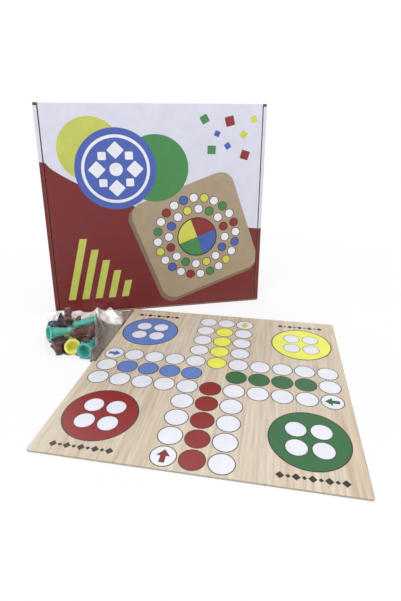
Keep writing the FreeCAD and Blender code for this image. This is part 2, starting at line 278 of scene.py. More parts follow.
def split_level(tree, across):
    """Height of the line between the carton's two colours, at a place across the carton."""
    position = node(tree, "ShaderNodeMapRange", From_Min=LID_LOW.x, From_Max=LID_HIGH.x)
    tree.links.new(across, position.inputs["Value"])
    share = position.outputs["Result"]
    bent = math_node(tree, "POWER", share, SPLIT_POWER)
    fall = math_node(tree, "MULTIPLY", bent, SPLIT_LEFT - SPLIT_RIGHT)
    sag = math_node(tree, "SINE", math_node(tree, "MULTIPLY", share, math.pi))
    dip = math_node(tree, "MULTIPLY", sag, SPLIT_DIP)
    return math_node(tree, "SUBTRACT", math_node(tree, "SUBTRACT", SPLIT_LEFT, fall), dip)


def carton_material(name, upper, lower):
    """Printed carton: pale above and dark below a curved line that falls across the carton."""
    material, tree, shader = new_material(name)
    place = mapped(tree)
    across, _, height = parts_of(tree, place)
    above = math_node(tree, "GREATER_THAN", height, split_level(tree, across))
    mottle = noise(tree, place, scale=60, detail=5, roughness=0.6)
    pale = ramp(tree, mottle, ((0.3, shade(upper, 0.95)), (0.7, shade(upper, 1.04))))
    dark = ramp(tree, mottle, ((0.3, shade(lower, 0.90)), (0.7, shade(lower, 1.10))))
    tree.links.new(mix(tree, above, dark, pale), shader.inputs["Base Color"])
    fine = noise(tree, place, scale=800, detail=3, roughness=0.6)
    rough = ramp(tree, fine, ((0.2, grey(0.34)), (0.8, grey(0.46))))
    tree.links.new(rough, shader.inputs["Roughness"])
    flutes = node(tree, "ShaderNodeTexWave", wave_type="BANDS", bands_direction="X", Scale=115.0)
    tree.links.new(place, flutes.inputs["Vector"])
    relief = mix(tree, 0.85, flutes.outputs["Color"], fine)
    add_bump(tree, shader, relief, distance=FLUTE_HEIGHT, strength=0.35)
    return material


# Materials of plastic

PLASTIC_ROUGHNESS = 0.16
PLASTIC_FLOW = 0.06 * MM
PIP_FIELD = 4.75 * MM
PIP_SUNK = 0.03 * MM


def plastic_material(name, colour):
    """Glossy moulded plastic with slight flow marks and rubbed spots."""
    material, tree, shader = new_material(name)
    place = mapped(tree)
    flow = noise(tree, place, scale=160, detail=3, roughness=0.5)
    colours = ramp(tree, flow, ((0.3, shade(colour, 0.86)), (0.7, shade(colour, 1.12))))
    tree.links.new(colours, shader.inputs["Base Color"])
    rubbed = noise(tree, place, scale=700, detail=4, roughness=0.6)
    rough = ramp(tree, rubbed, (
        (0.3, grey(PLASTIC_ROUGHNESS)), (0.75, grey(PLASTIC_ROUGHNESS + 0.14))))
    tree.links.new(rough, shader.inputs["Roughness"])
    shader.inputs["Subsurface Weight"].default_value = 0.3
    shader.inputs["Subsurface Radius"].default_value = (2 * MM, 2 * MM, 2 * MM)
    shader.inputs["Subsurface Scale"].default_value = 1.0
    add_bump(tree, shader, flow, distance=PLASTIC_FLOW, strength=0.3)
    return material


def die_material(name, colour, ink):
    """Plastic with inked pips: the pips lie under the faces, inside their rounded edges."""
    material = plastic_material(name, colour)
    tree = material.node_tree
    shader = tree.nodes["Principled BSDF"]
    face_colours = shader.inputs["Base Color"].links[0].from_socket
    local = node(tree, "ShaderNodeMapping", vector_type="TEXTURE", Location=DIE_CENTRE)
    tree.links.new(mapped(tree), local.inputs["Vector"])
    x, y, z = (math_node(tree, "ABSOLUTE", part) for part in parts_of(tree, local.outputs["Vector"]))
    highest = math_node(tree, "MAXIMUM", math_node(tree, "MAXIMUM", x, y), z)
    lowest = math_node(tree, "MINIMUM", math_node(tree, "MINIMUM", x, y), z)
    total = math_node(tree, "ADD", math_node(tree, "ADD", x, y), z)
    middle = math_node(tree, "SUBTRACT", math_node(tree, "SUBTRACT", total, highest), lowest)
    sunk = math_node(tree, "LESS_THAN", highest, DIE_HALF - PIP_SUNK)
    inside = math_node(tree, "LESS_THAN", middle, PIP_FIELD)
    pip = math_node(tree, "MULTIPLY", sunk, inside)
    tree.links.new(mix(tree, pip, face_colours, ink), shader.inputs["Base Color"])
    return material


# Materials of film

FILM_CRINKLE = 1.2 * MM
BASE_CRINKLE = 0.6 * MM
GLARE_ALPHA, GLARE_METAL = 0.97, 0.22
HIGHLIGHT_BESIDE_PILE = 0.3
BASE_SHADE_ALPHA, BASE_SIDE_SHADE_ALPHA = 0.94, 0.75


def warped(tree, place):
    """Place moved sideways by soft noise, for crooked creases and edges."""
    shift = tree.nodes.new("ShaderNodeCombineXYZ")
    tree.links.new(noise(tree, place, scale=70, detail=3, roughness=0.6), shift.inputs["X"])
    tree.links.new(noise(tree, place, scale=45, detail=2, roughness=0.5), shift.inputs["Y"])
    scaled_shift = node(tree, "ShaderNodeVectorMath", operation="SCALE", Scale=FILM_WARP)
    tree.links.new(shift.outputs["Vector"], scaled_shift.inputs["Vector"])
    moved = node(tree, "ShaderNodeVectorMath", operation="ADD")
    tree.links.new(place, moved.inputs[0])
    tree.links.new(scaled_shift.outputs["Vector"], moved.inputs[1])
    return moved.outputs["Vector"]


def glare(tree, across, moved):
    """1 where white glare is painted on the film at the bag's creased rear, further back inside the
    window.
    """
    _, depth, height = parts_of(tree, moved)
    past_left = span(tree, across, FILM_WINDOW_LEFT - FILM_WINDOW_FADE, FILM_WINDOW_LEFT)
    before_right = span(tree, across, FILM_WINDOW_RIGHT + FILM_WINDOW_FADE, FILM_WINDOW_RIGHT)
    window = math_node(tree, "MULTIPLY", past_left, before_right)
    set_back = math_node(tree, "MULTIPLY", window, FILM_WINDOW_DEPTH)
    reach = math_node(tree, "SUBTRACT", math_node(tree, "ADD", depth, height), set_back)
    rear = span(tree, reach, FILM_GLARE_START, FILM_GLARE_END)
    before_end = span(tree, across, FILM_GLARE_RIGHT + FILM_GLARE_FADE, FILM_GLARE_RIGHT)
    return math_node(tree, "MULTIPLY", rear, before_end)


def empty_side(tree, place, start, end):
    """1 where the bag lies empty, between the pile and the board's edge, and 0 over the pile."""
    across, _, _ = parts_of(tree, place)
    board_across, _, _ = parts_of(tree, mapped(tree, -BOARD_TURN))
    return math_node(tree, "MAXIMUM", span(tree, across, start, end),
                     span(tree, board_across, FILM_STRIP_START, FILM_STRIP_END))


def pile_cover(tree):
    """1 on the film where pawns lie on it or under it, 0 elsewhere."""
    return node(tree, "ShaderNodeAttribute", attribute_name="pile_cover").outputs["Fac"]


def film_material(name):
    """Clear crinkled film with painted glare at its creased rear, painted crease highlights, and painted
    grey shade at its empty side.
    """
    material, tree, shader = new_material(name)
    place = mapped(tree)
    across, _, _ = parts_of(tree, place)
    moved = warped(tree, place)
    voronoi = node(tree, "ShaderNodeTexVoronoi", feature="DISTANCE_TO_EDGE", Scale=80.0)
    tree.links.new(moved, voronoi.inputs["Vector"])
    creases = voronoi.outputs["Distance"]
    folds = ramp(tree, creases, ((0.0, grey(0.6)), (0.03, grey(0.92)), (0.06, grey(1))))
    # Painted glare: the film is made white, a little metallic and nearly opaque at its creased rear, with
    # darker lines along the creases.
    painted_glare = math_node(tree, "MULTIPLY", glare(tree, across, moved), folds)

    # Painted shade at the bag's empty side: a grey-brown layer, darkest next to the pile, stands for the
    # shade there and for a darker floor seen through the film.
    side = empty_side(tree, place, FILM_SIDE_START, FILM_SIDE_END)
    cloud = noise(tree, place, scale=55, detail=3, roughness=0.6)
    painted_shade_cloud = ramp(tree, cloud, ((0.35, grey(0.55)), (0.7, grey(0.8))))
    empty = math_node(tree, "MULTIPLY", side, painted_shade_cloud)
    # Painted highlights: thin pale lines along the creases, stronger over the pile, stand in for the
    # film's glints.
    crease_highlight = ramp(tree, creases, ((0.0, grey(0.09)), (0.04, grey(0.03)), (0.3, grey(0.015))))
    over_pile = math_node(tree, "MAXIMUM", pile_cover(tree), HIGHLIGHT_BESIDE_PILE)
    clear = math_node(tree, "MULTIPLY", crease_highlight, over_pile)
    alpha = math_node(tree, "MAXIMUM", math_node(tree, "MULTIPLY", painted_glare, GLARE_ALPHA), clear)
    tree.links.new(math_node(tree, "MAXIMUM", alpha, empty), shader.inputs["Alpha"])

    shade_fading = span(tree, across, FILM_SIDE_END, FILM_SHADE_FADED)
    tint = mix(tree, side, FILM_HIGHLIGHT_GREY, mix(tree, shade_fading, FILM_SHADE_DARK, FILM_SHADE_LIGHT))
    tree.links.new(mix(tree, painted_glare, tint, grey(1)), shader.inputs["Base Color"])
    tree.links.new(math_node(tree, "MULTIPLY", painted_glare, GLARE_METAL), shader.inputs["Metallic"])
    shader.inputs["Roughness"].default_value = 0.10
    shader.inputs["Specular IOR Level"].default_value = 0.9
    bumps = mix(tree, 0.5, creases, noise(tree, place, scale=70, detail=3, roughness=0.6))
    add_bump(tree, shader, bumps, distance=FILM_CRINKLE, strength=0.8)
    return material


def base_film_material(name):
    """Film under the pile, with shade painted dark brown beneath the pawns and at the empty side, clear
    elsewhere.
    """
    material, tree, shader = new_material(name)
    place = mapped(tree)
    mottle = noise(tree, warped(tree, place), scale=120, detail=4, roughness=0.6)
    # Painted shade: dark brown film under the pile and at the empty side, in place of the pile's shadow
    # on the floor.
    colours = ramp(tree, mottle, ((0.3, rgb(58, 46, 42)), (0.7, rgb(104, 92, 84))))
    tree.links.new(colours, shader.inputs["Base Color"])
    faint = ramp(tree, mottle, ((0.4, grey(0.0)), (0.7, grey(0.03))))
    side = empty_side(tree, place, BASE_SIDE_START, FILM_SIDE_START)
    painted_side_shade = math_node(tree, "MULTIPLY", side, BASE_SIDE_SHADE_ALPHA)
    either = math_node(tree, "MAXIMUM", pile_cover(tree), painted_side_shade)
    covered = math_node(tree, "MULTIPLY", either, BASE_SHADE_ALPHA)
    tree.links.new(math_node(tree, "MAXIMUM", covered, faint), shader.inputs["Alpha"])
    shader.inputs["Roughness"].default_value = 0.35
    add_bump(tree, shader, mottle, distance=BASE_CRINKLE, strength=0.6)
    return material


# Flat printed shapes: thin plates on a plane given by its origin and axes

INK_STEP = 0.03 * MM
INK_ROOT_SHARE = 0.25


def circle(x, y, radius, steps):
    turns = [2 * math.pi * i / steps for i in range(steps)]
    return [(x + radius * math.cos(turn), y + radius * math.sin(turn)) for turn in turns]


def rounded(x, y, half, radius, turn, steps):
    """Outline of a square with round corners, turned about its centre."""
    points = []
    for quarter, (sx, sy) in enumerate(((1, 1), (-1, 1), (-1, -1), (1, -1))):
        for i in range(steps + 1):
            angle = math.pi / 2 * (quarter + i / steps)
            px = sx * (half - radius) + radius * math.cos(angle)
            py = sy * (half - radius) + radius * math.sin(angle)
            points.append((x + px * math.cos(turn) - py * math.sin(turn),
                           y + px * math.sin(turn) + py * math.cos(turn)))
    return points


class Print:
    """Gathers flat printed shapes of one ink, each a thin plate standing a little proud of its plane."""

    def __init__(self, name, material, body, slot, plane, height):
        self.mesh = bmesh.new()
        self.name, self.material, self.body, self.slot = name, material, body, slot
        self.origin, self.across, self.along = plane
        self.out = self.across.cross(self.along)
        self.height = height

    def corners(self, points, level):
        return [self.mesh.verts.new(
            self.origin + self.across * x + self.along * y + self.out * level) for x, y in points]

    def plate(self, outline, hole=None):
        root = -self.height * INK_ROOT_SHARE
        top = self.corners(outline, self.height)
        foot = self.corners(outline, root)
        count = len(outline)
        sides = [(foot, top)]
        if hole is None:
            self.mesh.faces.new(top)
            self.mesh.faces.new(foot[::-1])
        else:
            hole_top = self.corners(hole, self.height)
            hole_foot = self.corners(hole, root)
            for i in range(count):
                j = (i + 1) % count
                self.mesh.faces.new((top[i], top[j], hole_top[j], hole_top[i]))
                self.mesh.faces.new((foot[j], foot[i], hole_foot[i], hole_foot[j]))
            sides.append((hole_top, hole_foot))
        for low, high in sides:
            for i in range(count):
                j = (i + 1) % count
                self.mesh.faces.new((low[i], low[j], high[j], high[i]))

    def disc(self, x, y, radius, steps=64):
        self.plate(circle(x, y, radius, steps))

    def ring(self, x, y, radius, width, steps=64):
        self.plate(circle(x, y, radius, steps), circle(x, y, radius - width, steps))

    def done(self):
        data = bpy.data.meshes.new(self.name)
        self.mesh.to_mesh(data)
        self.mesh.free()
        data.materials.append(self.material)
        piece = bpy.data.objects.new(self.name, data)
        scene.collection.objects.link(piece)
        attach(piece, self.body)


def dress(name, material):
    data = nodes[name].data
    data.materials.clear()
    data.materials.append(material)


# Board: fields in a cross of three lanes, arrows at the starts, and four bases with rows of marks

PITCH = 20.0 * MM
ARM_FIELDS = 5
LANE_FIELDS = 4
FIELD_RADIUS = 9.2 * MM
FIELD_LINE, FIELD_LINE_OUT = 0.68 * MM, 0.3 * MM
GRID_SHIFT = -3.7 * MM
LANES = {"blue": (-1, 0), "yellow": (0, 1), "green": (1, 0), "red": (0, -1)}
STARTS = (("blue", (-5, 1), 0), ("yellow", (1, 5), -90), ("green", (5, -1), 180), ("red", (-1, -5), 90))
ARROW_TAIL, ARROW_NECK, ARROW_TIP = -5.8 * MM, 0.2 * MM, 6.2 * MM
ARROW_SHAFT, ARROW_BARB = 2.0 * MM, 4.9 * MM

# Centre of each base, and on which side of it its row of marks lies
BASES = (
    ("red", -78.5 * MM, -70.3 * MM, -1), ("green", 78.8 * MM, -70.3 * MM, -1),
    ("blue", -78.3 * MM, 65.4 * MM, 1), ("yellow", 78.9 * MM, 65.4 * MM, 1),
)
BASE_RADIUS = 29.1 * MM
BASE_LINE = 1.0 * MM
BASE_STEPS = 128
SPOT_PITCH, SPOT_RADIUS = 18.6 * MM, 8.0 * MM
SPOT_LINE, SPOT_LINE_OUT = 0.5 * MM, 0.2 * MM
MARK_OFFSET, MARK_PITCH, MARK_REACH = 6.5 * MM, 5.2 * MM, 4
MARK_LARGE, MARK_SMALL, MARK_ROUND = 2.1 * MM, 1.2 * MM, 0.35 * MM
DIAMOND = math.pi / 4

board_axes = Matrix.Rotation(BOARD_TURN, 3, "Z")
board_plane = (Vector((0, 0, BOARD_TOP)), board_axes @ Vector((1, 0, 0)), board_axes @ Vector((0, 1, 0)))


def board_print(name, ink, layer):
    material = printed_material(name + "_ink", ink, roughness=0.4)
    return Print(name, material, "game_board", "board_paper", board_plane, INK_STEP * layer)


def field(i, j):
    return (i * PITCH, j * PITCH + GRID_SHIFT)


def print_fields(white, inks, outline):
    coloured = {}
    for colour, (along, up) in LANES.items():
        for k in range(1, LANE_FIELDS + 1):
            coloured[(k * along, k * up)] = colour
    coloured[(0, -ARM_FIELDS)] = "red"
    places = range(-ARM_FIELDS, ARM_FIELDS + 1)
    for i in places:
        for j in places:
            if (abs(i) > 1 and abs(j) > 1) or (i == 0 and j == 0):
                continue
            target = inks[coloured[(i, j)]] if (i, j) in coloured else white
            target.disc(*field(i, j), FIELD_RADIUS)
            outline.ring(*field(i, j), FIELD_RADIUS + FIELD_LINE_OUT, FIELD_LINE)


def print_arrows(arrows):
    shape = ((ARROW_TAIL, -ARROW_SHAFT), (ARROW_NECK, -ARROW_SHAFT), (ARROW_NECK, -ARROW_BARB),
             (ARROW_TIP, 0), (ARROW_NECK, ARROW_BARB), (ARROW_NECK, ARROW_SHAFT),
             (ARROW_TAIL, ARROW_SHAFT))
    for colour, place, turn in STARTS:
        x, y = field(*place)
        cosine, sine = math.cos(math.radians(turn)), math.sin(math.radians(turn))
        arrows[colour].plate([(x + px * cosine - py * sine, y + px * sine + py * cosine)
                              for px, py in shape])


def print_bases(inks, spots, marks, outline):
    for colour, x, y, side in BASES:
        inks[colour].disc(x, y, BASE_RADIUS, BASE_STEPS)
        outline.ring(x, y, BASE_RADIUS + BASE_LINE / 2, BASE_LINE, BASE_STEPS)
        for dx in (-SPOT_PITCH / 2, SPOT_PITCH / 2):
            for dy in (-SPOT_PITCH / 2, SPOT_PITCH / 2):
                spots.disc(x + dx, y + dy, SPOT_RADIUS)
                outline.ring(x + dx, y + dy, SPOT_RADIUS + SPOT_LINE_OUT, SPOT_LINE)
        row = y + side * (BASE_RADIUS + MARK_OFFSET)
        for k in range(-MARK_REACH, MARK_REACH + 1):
            size = MARK_LARGE if k % 2 == 0 else MARK_SMALL
            marks.plate(rounded(x + k * MARK_PITCH, row, size, MARK_ROUND, DIAMOND, steps=3))


def make_board_print():
    outline = board_print("board_outlines", LINE_INK, layer=3)
    white = board_print("board_fields_white", WHITE_INK, layer=1)
    inks = {colour: board_print(f"board_fields_{colour}", INKS[colour], layer=2)
            for colour in COLOURS}
    spots = board_print("board_base_spots", WHITE_INK, layer=3)
    marks = board_print("board_marks", BLACK_INK, layer=2)
    arrows = {colour: board_print(f"board_arrow_{colour}", shade(INKS[colour], ARROW_SHADE), layer=2)
              for colour in COLOURS}
    print_fields(white, inks, outline)
    print_arrows(arrows)
    print_bases(inks, spots, marks, outline)
    for item in (outline, white, spots, marks, *inks.values(), *arrows.values()):
        item.done()


make_board_print()
dress("board_face_sheet", wood_print_material())
dress("board_core", raw_card_material("board_grey_core", rgb(176, 166, 152), rgb(120, 110, 100)))
dress("board_back_sheet", printed_material("board_back_paper", rgb(214, 206, 194), roughness=0.55))


# Carton

LEFT, RIGHT = Vector((-1, 0, 0)), Vector((1, 0, 0))
FRONT, BACK = Vector((0, -1, 0)), Vector((0, 1, 0))
BELOW, ABOVE = Vector((0, 0, -1)), Vector((0, 0, 1))

# Outward direction of each panel that carries the carton's two colours
PRINTED_PANELS = (
    ("lid_panel", FRONT + ABOVE / 2), ("lid_tuck_flap", BELOW),
    ("lid_left_ear", LEFT), ("lid_right_ear", RIGHT),
    ("box_hinge_wall", ABOVE), ("box_front_wall", BELOW + FRONT), ("box_back_panel", BACK),
    ("left_outer_wall", LEFT + BACK / 2 + ABOVE / 2),
    ("right_outer_wall", RIGHT + BACK / 2 + ABOVE / 2),
    ("left_rolled_edge", FRONT + LEFT), ("right_rolled_edge", FRONT + RIGHT),
)
# Outward direction of each panel that shows the pale print alone
PALE_PANELS = (
    ("left_inner_wall", RIGHT), ("right_inner_wall", LEFT),
    ("lower_left_corner_flap", LEFT), ("upper_left_corner_flap", LEFT),
    ("lower_right_corner_flap", RIGHT), ("upper_right_corner_flap", RIGHT),
)
FLAT_FACE_SHARE = 0.7
OUTWARD_SHARE = 0.2


def dress_outside(name, outward, looks):
    """Printed card on the faces that turn outward, bare card on the inside and cut edges between."""
    low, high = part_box(name)
    thin = min(range(3), key=lambda i: high[i] - low[i])
    data = nodes[name].data
    data.materials.clear()
    for material in looks:
        data.materials.append(material)
    for face in data.polygons:
        bare = 1 if abs(face.normal[thin]) > FLAT_FACE_SHARE else 2
        face.material_index = 0 if face.normal.dot(outward) > OUTWARD_SHARE else bare


def dress_carton():
    two_colours = carton_material("carton_print", LILAC, DARK_RED)
    pale = printed_material("lid_print", LILAC, roughness=0.40)
    raw = raw_card_material("carton_raw", rgb(206, 190, 166), rgb(166, 146, 118))
    # Cut edges: the darker core of the card, with shade painted in for the shallow recesses and flute
    # holes where they show.
    cut = raw_card_material("carton_cut_edge_shaded", rgb(116, 96, 76), rgb(90, 72, 56))
    for printed, panels in ((two_colours, PRINTED_PANELS), (pale, PALE_PANELS)):
        for name, outward in panels:
            dress_outside(name, outward, (printed, raw, cut))


dress_carton()


# Cover print: discs, a tan panel with rings of dots, slanted bars and confetti

COVER_MARGIN = 0.8 * MM
SPLIT_STEPS = 48
PANEL_X, PANEL_Y, PANEL_TURN = 44 * MM, 84 * MM, math.radians(20)
PANEL_HALF, PANEL_ROUND = 61 * MM, 16 * MM
PANEL_EDGE_HALF = 62 * MM
PANEL_EDGE_LEFT, PANEL_EDGE_DOWN = 2.5 * MM, 3.5 * MM
DOT_RINGS = ((46 * MM, 24), (33 * MM, 16))
DOT_ORDER = ("red", None, "green", None, "yellow", None, "blue", None)
DOT_RADIUS, DOT_LINE, DOT_STEPS = 4.6 * MM, 0.7 * MM, 32
WHEEL_RADIUS, WHEEL_LINE = 22 * MM, 1.2 * MM
WEDGE_STEPS = 16
LIME_DISC = (-70 * MM, 184 * MM, 33 * MM)
GREEN_DISC = (-2 * MM, 163 * MM, 36 * MM)
BLUE_X, BLUE_Y, BLUE_RADIUS = -44 * MM, 163 * MM, 43 * MM
DISC_STEPS = 128
BAND_RADIUS, BAND_WIDTH = 36 * MM, 3.2 * MM
ROSETTE_COUNT, ROSETTE_RADIUS, ROSETTE_HUB = 8, 20 * MM, 7 * MM
ROSETTE_LARGE, ROSETTE_SMALL, ROSETTE_ROUND = 6.5 * MM, 4.2 * MM, 1.2 * MM
BAR_COUNT, BAR_FOOT, BAR_WIDTH, BAR_LEAN = 5, 16 * MM, 8 * MM, 0.25
BAR_START, BAR_PITCH = -106 * MM, 15 * MM
BAR_TOP, BAR_FALL = 88 * MM, 13 * MM

# Centre and half width of each confetti square, in millimetres
CONFETTI = ((52, 214, 4.2), (66, 199, 3.0), (80, 212, 5.0), (96, 198, 3.6),
            (60, 182, 4.6), (78, 186, 3.2), (98, 176, 4.8), (107, 214, 3.4))
CONFETTI_ROUND = 0.9 * MM
CONFETTI_FIRST, CONFETTI_TURN, CONFETTI_STEP = 2, 30, 37

lid_plane = (Vector(((LID_LOW.x + LID_HIGH.x) / 2, LID_LOW.y, LID_LOW.z)),
             Vector((1, 0, 0)), Vector((0, 0, 1)))


def lid_layer(name, colour, layer):
    material = printed_material(name + "_ink", colour, roughness=0.38)
    return Print(name, material, "box_lid", "carton", lid_plane, INK_STEP * layer)


def clipped(points):
    """Keeps an outline inside the lid's face."""
    half = LID_WIDTH / 2 - COVER_MARGIN
    top = LID_HEIGHT - COVER_MARGIN
    return [(max(-half, min(half, x)), max(COVER_MARGIN, min(top, y))) for x, y in points]


def cover_field():
    """Dark lower field of the lid, under the line between the carton's two colours."""
    red = lid_layer("cover_red_field", DARK_RED, layer=1)
    half = LID_WIDTH / 2
    line = []
    for i in range(SPLIT_STEPS + 1):
        share = i / SPLIT_STEPS
        level = SPLIT_LEFT + (SPLIT_RIGHT - SPLIT_LEFT) * share ** SPLIT_POWER - LID_LOW.z
        line.append((-half + share * LID_WIDTH, level - SPLIT_DIP * math.sin(math.pi * share)))
    red.plate(clipped([(-half, 0), (half, 0)] + line[::-1]))
    return red


def cover_panel():
    """Tan panel with two rings of dots round a wheel of four colours."""
    edge = lid_layer("cover_panel_edge", COVER_BROWN, layer=2)
    tan = lid_layer("cover_panel", COVER_TAN, layer=3)
    edge.plate(clipped(rounded(PANEL_X - PANEL_EDGE_LEFT, PANEL_Y - PANEL_EDGE_DOWN, PANEL_EDGE_HALF,
                               PANEL_ROUND, PANEL_TURN, steps=16)))
    tan.plate(clipped(rounded(PANEL_X, PANEL_Y, PANEL_HALF, PANEL_ROUND, PANEL_TURN, steps=16)))

    dark = lid_layer("cover_outlines", BLACK_INK, layer=4)
    white = lid_layer("cover_dots_white", WHITE_INK, layer=5)
    coloured = {colour: lid_layer(f"cover_dots_{colour}", COVER_INKS[colour], layer=5)
                for colour in COLOURS}
    for ring_radius, count in DOT_RINGS:
        for k in range(count):
            angle = PANEL_TURN + 2 * math.pi * k / count
            x = PANEL_X + ring_radius * math.cos(angle)
            y = PANEL_Y + ring_radius * math.sin(angle)
            dark.disc(x, y, DOT_RADIUS + DOT_LINE, DOT_STEPS)
            coloured.get(DOT_ORDER[k % len(DOT_ORDER)], white).disc(x, y, DOT_RADIUS, DOT_STEPS)
    quarter = math.pi / 2
    for k, colour in enumerate(COLOURS):
        sweep = [PANEL_TURN + quarter * (k + i / WEDGE_STEPS) for i in range(WEDGE_STEPS + 1)]
        arc = [(PANEL_X + WHEEL_RADIUS * math.cos(angle), PANEL_Y + WHEEL_RADIUS * math.sin(angle))
               for angle in sweep]
        coloured[colour].plate([(PANEL_X, PANEL_Y)] + arc)
    dark.disc(PANEL_X, PANEL_Y, WHEEL_RADIUS + WHEEL_LINE, steps=96)
    return (edge, tan, dark, white), coloured.values()


def cover_discs():
    """Three overlapping discs, the middle one with a band and a rosette of squares."""
    lime = lid_layer("cover_disc_lime", COVER_LIME, layer=3)
    green = lid_layer("cover_disc_green", COVER_INKS["green"], layer=4)
    blue = lid_layer("cover_disc_blue", COVER_INKS["blue"], layer=5)
    pale = lid_layer("cover_disc_marks", WHITE_INK, layer=6)
    lime.disc(*LIME_DISC, DISC_STEPS)
    green.disc(*GREEN_DISC, DISC_STEPS)
    blue.disc(BLUE_X, BLUE_Y, BLUE_RADIUS, DISC_STEPS)
    pale.ring(BLUE_X, BLUE_Y, BAND_RADIUS, BAND_WIDTH, DISC_STEPS)
    for k in range(ROSETTE_COUNT):
        angle = 2 * math.pi * k / ROSETTE_COUNT
        size = ROSETTE_LARGE if k % 2 == 0 else ROSETTE_SMALL
        x, y = BLUE_X + ROSETTE_RADIUS * math.cos(angle), BLUE_Y + ROSETTE_RADIUS * math.sin(angle)
        pale.plate(rounded(x, y, size, ROSETTE_ROUND, angle + DIAMOND, steps=4))
    pale.disc(BLUE_X, BLUE_Y, ROSETTE_HUB)
    return lime, green, blue, pale


def cover_bars():
    """Slanted bars that get shorter to the right."""
    bars = lid_layer("cover_bars", COVER_LIME, layer=2)
    for k in range(BAR_COUNT):
        left = BAR_START + BAR_PITCH * k
        right = left + BAR_WIDTH
        top = BAR_TOP - BAR_FALL * k
        shift = (top - BAR_FOOT) * BAR_LEAN
        bars.plate(((left, BAR_FOOT), (right, BAR_FOOT), (right + shift, top), (left + shift, top)))
    return bars


def cover_confetti():
    confetti = {colour: lid_layer(f"cover_confetti_{colour}", COVER_INKS[colour], layer=2)
                for colour in COLOURS}
    for k, (x, y, half) in enumerate(CONFETTI):
        colour = COLOURS[(k + CONFETTI_FIRST) % len(COLOURS)]
        turn = math.radians(CONFETTI_TURN + CONFETTI_STEP * k)
        confetti[colour].plate(rounded(x * MM, y * MM, half * MM, CONFETTI_ROUND, turn, steps=4))
    return confetti.values()


def make_cover():
    red = cover_field()
    panel, dots = cover_panel()
    for item in (red, *panel, *cover_discs(), cover_bars(), *dots, *cover_confetti()):
        item.done()


make_cover()


# Pawns and die

def dress_pile():
    for colour in COLOURS:
        plastic = plastic_material(f"pawn_plastic_{colour}", PLASTICS[colour])
        for name in PILE:
            if name.startswith(f"pawn_{colour}"):
                dress(name, plastic)
    dress("die", die_material("die_plastic", DIE_RED, PIP_WHITE))
    for name in PILE:
        nodes[name].data.shade_smooth()


dress_pile()


# Bag: clear film draped over the pile, welded to a flat lower film that is painted dark as shade under
# the pile

FILM_STEP = 1.0 * MM
FILM_LIFT = 0.5 * MM
FILM_SKIN = 0.06 * MM
BAG_OVERLAP = 3.6 * MM
BAG_TUCK = 8 * MM
BOARD_EDGE_ROOM = 0.6 * MM
SEAM_LEVEL = 0.35 * MM
BASE_LEVEL, BASE_OVER_BOARD = 0.15 * MM, 0.2 * MM
RAY_TOP = 200 * MM

# Crumpled rear: how high the weld stands up, and where and how far the loose film is creased
REAR_STAND, REAR_WAVE_SHARE = 6 * MM, 0.4
LOOSE_START, LOOSE_RISE, LOOSE_EDGE = 89 * MM, 20 * MM, 12
CRUMPLE_HEIGHT, FINE_HEIGHT, CRUMPLE_TOP = 1.7 * MM, 1.3 * MM, 10 * MM
CREASE_SHARPNESS = 2.5
WRINKLE_FINE, WRINKLE_BROAD = 0.35 * MM, 0.5 * MM
RELAX_STEPS = 160

# Part of the film that counts as covered: pawns this low, closed over gaps of some grid steps; the lower
# film gets its painted shade there
LOW_LEVEL = 9 * MM
COVER_STEPS = 6
COVER_INSET = 2


def pile_tree():
    """Search tree over every pawn and the die."""
    points, faces = [], []
    for name in PILE:
        data = nodes[name].data
        start = len(points)
        points.extend(vertex.co.copy() for vertex in data.vertices)
        faces.extend(tuple(start + i for i in face.vertices) for face in data.polygons)
    return BVHTree.FromPolygons(points, faces)


def bag_corners():
    """Corners of the bag's outline: front left, rear left, front right and rear right."""
    points = [vertex.co for vertex in nodes["bag_lower_film"].data.vertices]
    left = min(point.x for point in points)

    def ends(side):
        return min(side, key=lambda point: point.y), max(side, key=lambda point: point.y)

    return (*ends([point for point in points if point.x < left + MM]),
            *ends([point for point in points if point.x > left + MM]))


def smooth_noise(shape, cells, seed):
    """Smooth random field with about that many cells across, from -1 to 1."""
    source = np.random.default_rng(seed).uniform(-1, 1, (cells + 3, cells + 3))
    rows = np.linspace(0, cells, shape[0])
    columns = np.linspace(0, cells, shape[1])
    row, column = rows.astype(int), columns.astype(int)
    down = (rows - row)[:, None]
    across = (columns - column)[None, :]
    down, across = down * down * (3 - 2 * down), across * across * (3 - 2 * across)
    near_left, near_right = source[np.ix_(row, column)], source[np.ix_(row, column + 1)]
    far_left, far_right = source[np.ix_(row + 1, column)], source[np.ix_(row + 1, column + 1)]
    near = near_left * (1 - across) + near_right * across
    far = far_left * (1 - across) + far_right * across
    return near * (1 - down) + far * down


def ridges(shape, cells, seed):
    """Sharp creases along the lines where a smooth random field is zero, 1 high."""
    return np.maximum(1 - np.abs(smooth_noise(shape, cells, seed)) * CREASE_SHARPNESS, 0)


def drape_height(xs, ys, over_board):
    """Lowest height of the film at each point, over the pile, the board's edge and the table,
    and whether a pawn lies low there."""
    tree = pile_tree()
    height = np.where(over_board, BOARD_TOP + FILM_LIFT, SEAM_LEVEL)
    covered = np.zeros(xs.shape, bool)
    for index in np.ndindex(xs.shape):
        hit = tree.ray_cast(Vector((xs[index], ys[index], RAY_TOP)), BELOW)[0]
        if hit is not None:
            height[index] = hit.z + FILM_LIFT
            lowest = tree.ray_cast(Vector((xs[index], ys[index], 0)), ABOVE)[0]
            covered[index] = lowest.z < LOW_LEVEL
    return height, covered


def grown(mask, steps):
    """Mask widened by that many grid steps."""
    for _ in range(steps):
        wider = mask.copy()
        wider[1:] |= mask[:-1]
        wider[:-1] |= mask[1:]
        wider[:, 1:] |= mask[:, :-1]
        wider[:, :-1] |= mask[:, 1:]
        mask = wider
    return mask


def averaged(values):
    """Grid with each inner point replaced by the mean of its four neighbours."""
    around = values.copy()
    around[1:-1, 1:-1] = (values[:-2, 1:-1] + values[2:, 1:-1] + values[1:-1, :-2] + values[1:-1, 2:]) / 4
    return around


